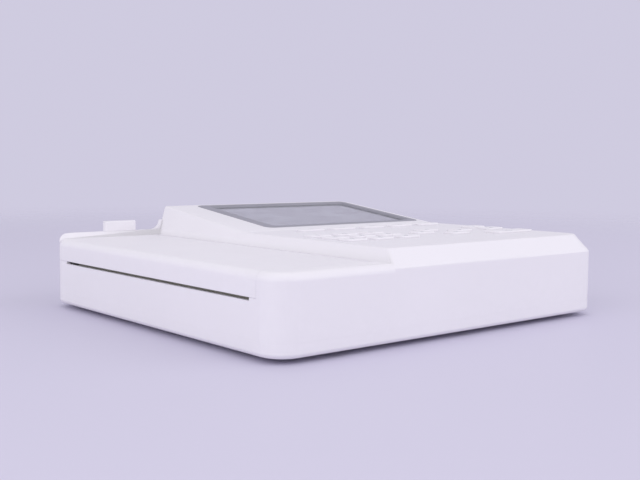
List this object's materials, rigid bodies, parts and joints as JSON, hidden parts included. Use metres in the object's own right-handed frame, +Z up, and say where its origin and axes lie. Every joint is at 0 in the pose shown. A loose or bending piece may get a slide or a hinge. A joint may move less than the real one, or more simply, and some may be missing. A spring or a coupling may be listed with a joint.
{
  "type": "ecg machine",
  "caption": "White desktop electrocardiograph with a full-width chart printer under a hinged left deck, a sloping display, travelling keys and rear power and data sockets.",
  "frame": {"origin": "on the supporting surface under the middle of the case's bounding box", "axes": "+Z up; the operator stands at -Y and reads the keys from there; +X runs to the operator's right, away from the paper slot"},
  "size_m": [0.28, 0.263, 0.0693],
  "materials": {
    "case_plastic": "satin moulded",
    "key_plastic": "satin moulded",
    "steel": "plain zinc plated",
    "nickel": "nickel plated",
    "roller_rubber": "ground matt",
    "gear_plastic": "moulded acetal",
    "brass": "machined",
    "frame_plastic": "fine textured",
    "ceramic": "glazed",
    "aluminium": "extruded",
    "chart_paper": "smooth coated",
    "black_plastic": "fine textured",
    "grey_plastic": "satin printed",
    "clear_window": "polished",
    "display": "smooth",
    "silicone": "matt",
    "circuit_board": "solder resist",
    "battery_wrap": "shrink wrap"
  },
  "bodies": {
    "case": {"lower_case": "case_plastic", "upper_case": "case_plastic", "battery_cover": "case_plastic", "door_hinge_pins": "steel", "tear_bar": "steel", "head_springs": "steel", "case_screws": "steel", "stepper_motor": "steel", "rear_panel": "steel", "earth_pin": "nickel", "data_ports": "nickel", "patient_connector": "nickel", "rubber_feet": "roller_rubber", "printer_frame": "frame_plastic", "print_head": "ceramic", "head_bracket": "aluminium", "paper_sensor": "black_plastic", "mains_inlet": "black_plastic", "fuse_holder": "black_plastic", "rocker_frame": "black_plastic", "speaker": "black_plastic", "screen_frame": "grey_plastic", "screen_window": "clear_window", "lcd_module": "display", "key_mat": "silicone", "key_board": "circuit_board", "main_board": "circuit_board", "power_supply": "circuit_board", "battery_pack": "battery_wrap"},
    "door": {"paper_door": "case_plastic"},
    "platen": {"platen_roller": "roller_rubber", "platen_shaft": "steel", "platen_gear": "gear_plastic"},
    "idler": {"idler_gear": "gear_plastic"},
    "pinion": {"motor_pinion": "brass"},
    "release": {"door_release": "case_plastic"},
    "roll": {"paper_roll": "chart_paper", "roll_spindle": "frame_plastic"},
    "rocker": {"power_rocker": "black_plastic"},
    "key_soft_1": {"key_soft_1": "key_plastic"},
    "key_soft_2": {"key_soft_2": "key_plastic"},
    "key_soft_3": {"key_soft_3": "key_plastic"},
    "key_soft_4": {"key_soft_4": "key_plastic"},
    "key_soft_5": {"key_soft_5": "key_plastic"},
    "key_pad_1": {"key_pad_1": "key_plastic"},
    "key_pad_2": {"key_pad_2": "key_plastic"},
    "key_pad_3": {"key_pad_3": "key_plastic"},
    "key_pad_4": {"key_pad_4": "key_plastic"},
    "key_pad_5": {"key_pad_5": "key_plastic"},
    "key_pad_6": {"key_pad_6": "key_plastic"},
    "key_pad_7": {"key_pad_7": "key_plastic"},
    "key_pad_8": {"key_pad_8": "key_plastic"},
    "key_pad_9": {"key_pad_9": "key_plastic"},
    "key_up": {"key_up": "key_plastic"},
    "key_down": {"key_down": "key_plastic"},
    "key_left": {"key_left": "key_plastic"},
    "key_right": {"key_right": "key_plastic"},
    "key_side_1": {"key_side_1": "key_plastic"},
    "key_side_2": {"key_side_2": "key_plastic"},
    "key_start": {"key_start": "key_plastic"}
  },
  "joints": [
    {"name": "door_hinge", "type": "hinge", "parent": "case", "child": "door", "pos_m": [-0.0608, 0.0005, 0.046], "axis": [0, 1, 0], "range_deg": [0, 95]},
    {"name": "platen_spin", "type": "hinge", "parent": "door", "child": "platen", "pos_m": [-0.128, 0.0005, 0.0388], "axis": [0, 1, 0], "continuous": true},
    {"name": "idler_spin", "type": "hinge", "parent": "case", "child": "idler", "pos_m": [-0.1246, -0.1107, 0.02522], "axis": [0, 1, 0], "continuous": true},
    {"name": "pinion_spin", "type": "hinge", "parent": "case", "child": "pinion", "pos_m": [-0.118, -0.1107, 0.0158], "axis": [0, 1, 0], "continuous": true},
    {"name": "roll_spin", "type": "hinge", "parent": "case", "child": "roll", "pos_m": [-0.0825, 0.0005, 0.026], "axis": [0, 1, 0], "continuous": true},
    {"name": "release_slide", "type": "slide", "parent": "case", "child": "release", "axis": [0, 1, 0], "range_m": [0, 0.0024], "stiffness_N_per_m": 400, "springref_m": -0.001},
    {"name": "rocker_tilt", "type": "hinge", "parent": "case", "child": "rocker", "pos_m": [0.07857, 0.12, 0.029], "axis": [1, 0, 0], "range_deg": [0, 14]},
    {"name": "key_soft_1_press", "type": "slide", "parent": "case", "child": "key_soft_1", "axis": [0, 0, -1], "range_m": [0, 0.0012], "stiffness_N_per_m": 300, "springref_m": -0.0008},
    {"name": "key_soft_2_press", "type": "slide", "parent": "case", "child": "key_soft_2", "axis": [0, 0, -1], "range_m": [0, 0.0012], "stiffness_N_per_m": 300, "springref_m": -0.0008},
    {"name": "key_soft_3_press", "type": "slide", "parent": "case", "child": "key_soft_3", "axis": [0, 0, -1], "range_m": [0, 0.0012], "stiffness_N_per_m": 300, "springref_m": -0.0008},
    {"name": "key_soft_4_press", "type": "slide", "parent": "case", "child": "key_soft_4", "axis": [0, 0, -1], "range_m": [0, 0.0012], "stiffness_N_per_m": 300, "springref_m": -0.0008},
    {"name": "key_soft_5_press", "type": "slide", "parent": "case", "child": "key_soft_5", "axis": [0, 0, -1], "range_m": [0, 0.0012], "stiffness_N_per_m": 300, "springref_m": -0.0008},
    {"name": "key_pad_1_press", "type": "slide", "parent": "case", "child": "key_pad_1", "axis": [0, 0, -1], "range_m": [0, 0.0012], "stiffness_N_per_m": 300, "springref_m": -0.0008},
    {"name": "key_pad_2_press", "type": "slide", "parent": "case", "child": "key_pad_2", "axis": [0, 0, -1], "range_m": [0, 0.0012], "stiffness_N_per_m": 300, "springref_m": -0.0008},
    {"name": "key_pad_3_press", "type": "slide", "parent": "case", "child": "key_pad_3", "axis": [0, 0, -1], "range_m": [0, 0.0012], "stiffness_N_per_m": 300, "springref_m": -0.0008},
    {"name": "key_pad_4_press", "type": "slide", "parent": "case", "child": "key_pad_4", "axis": [0, 0, -1], "range_m": [0, 0.0012], "stiffness_N_per_m": 300, "springref_m": -0.0008},
    {"name": "key_pad_5_press", "type": "slide", "parent": "case", "child": "key_pad_5", "axis": [0, 0, -1], "range_m": [0, 0.0012], "stiffness_N_per_m": 300, "springref_m": -0.0008},
    {"name": "key_pad_6_press", "type": "slide", "parent": "case", "child": "key_pad_6", "axis": [0, 0, -1], "range_m": [0, 0.0012], "stiffness_N_per_m": 300, "springref_m": -0.0008},
    {"name": "key_pad_7_press", "type": "slide", "parent": "case", "child": "key_pad_7", "axis": [0, 0, -1], "range_m": [0, 0.0012], "stiffness_N_per_m": 300, "springref_m": -0.0008},
    {"name": "key_pad_8_press", "type": "slide", "parent": "case", "child": "key_pad_8", "axis": [0, 0, -1], "range_m": [0, 0.0012], "stiffness_N_per_m": 300, "springref_m": -0.0008},
    {"name": "key_pad_9_press", "type": "slide", "parent": "case", "child": "key_pad_9", "axis": [0, 0, -1], "range_m": [0, 0.0012], "stiffness_N_per_m": 300, "springref_m": -0.0008},
    {"name": "key_up_press", "type": "slide", "parent": "case", "child": "key_up", "axis": [0, 0, -1], "range_m": [0, 0.0012], "stiffness_N_per_m": 300, "springref_m": -0.0008},
    {"name": "key_down_press", "type": "slide", "parent": "case", "child": "key_down", "axis": [0, 0, -1], "range_m": [0, 0.0012], "stiffness_N_per_m": 300, "springref_m": -0.0008},
    {"name": "key_left_press", "type": "slide", "parent": "case", "child": "key_left", "axis": [0, 0, -1], "range_m": [0, 0.0012], "stiffness_N_per_m": 300, "springref_m": -0.0008},
    {"name": "key_right_press", "type": "slide", "parent": "case", "child": "key_right", "axis": [0, 0, -1], "range_m": [0, 0.0012], "stiffness_N_per_m": 300, "springref_m": -0.0008},
    {"name": "key_side_1_press", "type": "slide", "parent": "case", "child": "key_side_1", "axis": [0, 0, -1], "range_m": [0, 0.0012], "stiffness_N_per_m": 300, "springref_m": -0.0008},
    {"name": "key_side_2_press", "type": "slide", "parent": "case", "child": "key_side_2", "axis": [0, 0, -1], "range_m": [0, 0.0012], "stiffness_N_per_m": 300, "springref_m": -0.0008},
    {"name": "key_start_press", "type": "slide", "parent": "case", "child": "key_start", "axis": [0, 0, -1], "range_m": [0, 0.0012], "stiffness_N_per_m": 300, "springref_m": -0.0008}
  ],
  "couplings": [
    {"joint": "idler_spin", "follows": "platen_spin", "ratio": -0.75},
    {"joint": "pinion_spin", "follows": "platen_spin", "ratio": 1.7143},
    {"joint": "roll_spin", "follows": "platen_spin", "ratio": 0.34286}
  ]
}
